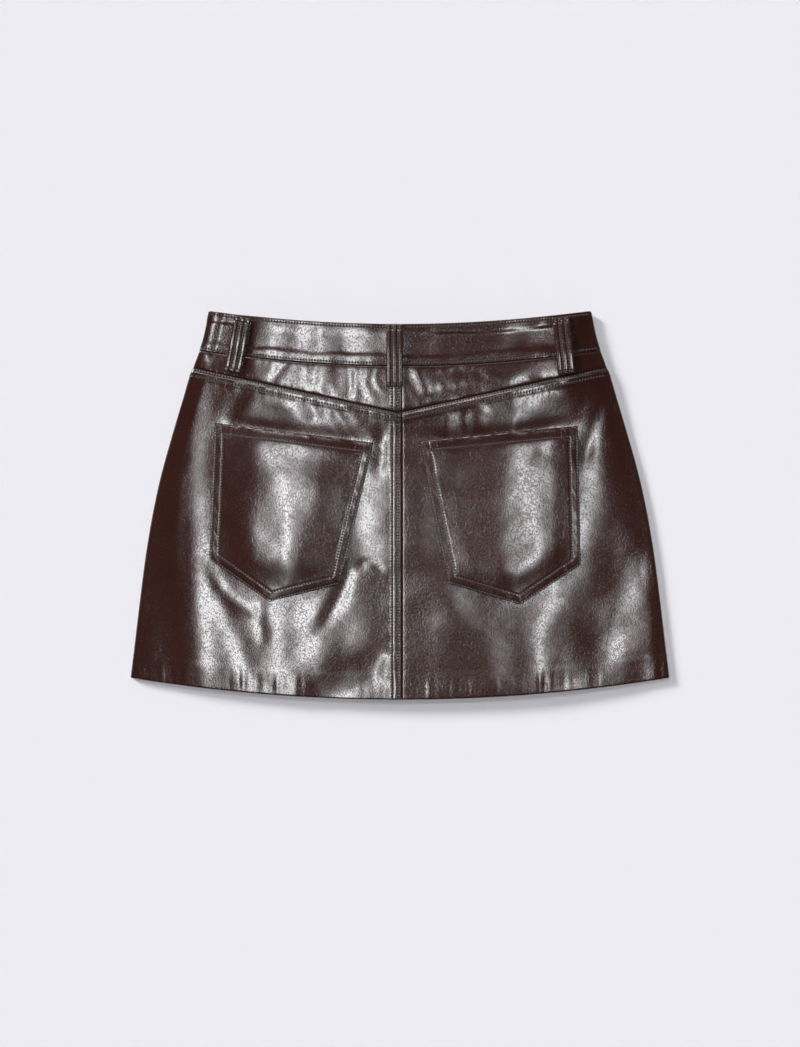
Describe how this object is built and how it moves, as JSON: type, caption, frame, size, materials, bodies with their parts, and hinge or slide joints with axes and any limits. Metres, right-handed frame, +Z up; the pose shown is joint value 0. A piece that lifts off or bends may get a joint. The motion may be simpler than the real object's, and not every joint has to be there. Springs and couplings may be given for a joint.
{
  "type": "leather mini skirt",
  "caption": "Jeans-cut leather mini skirt lying flat, back side up, with a contoured waistband, pointed yoke, patch pockets, belt loops and a turned hem.",
  "frame": {"origin": "under the middle of the skirt's plan, on the surface that it lies on", "axes": "+Z up from the surface, +Y from the hem toward the waist, +X across to the right as the skirt is seen from above"},
  "size_m": [0.5164, 0.3716, 0.0165],
  "materials": {
    "leather": "dark brown coated leather with a fine pebble grain and a high gloss",
    "button_metal": "dark plain metal"
  },
  "bodies": {
    "root": {"waistband_back": "leather", "waistband_front_left": "leather", "waistband_front_right": "leather", "yoke_left": "leather", "yoke_right": "leather", "back_panel_left": "leather", "back_panel_right": "leather", "front_panel_left": "leather", "front_panel_right": "leather", "back_pocket_left": "leather", "back_pocket_right": "leather", "belt_loop_back_left": "leather", "belt_loop_back_centre": "leather", "belt_loop_back_right": "leather", "belt_loop_front_left": "leather", "belt_loop_front_right": "leather", "waist_button": "button_metal"}
  },
  "joints": []
}
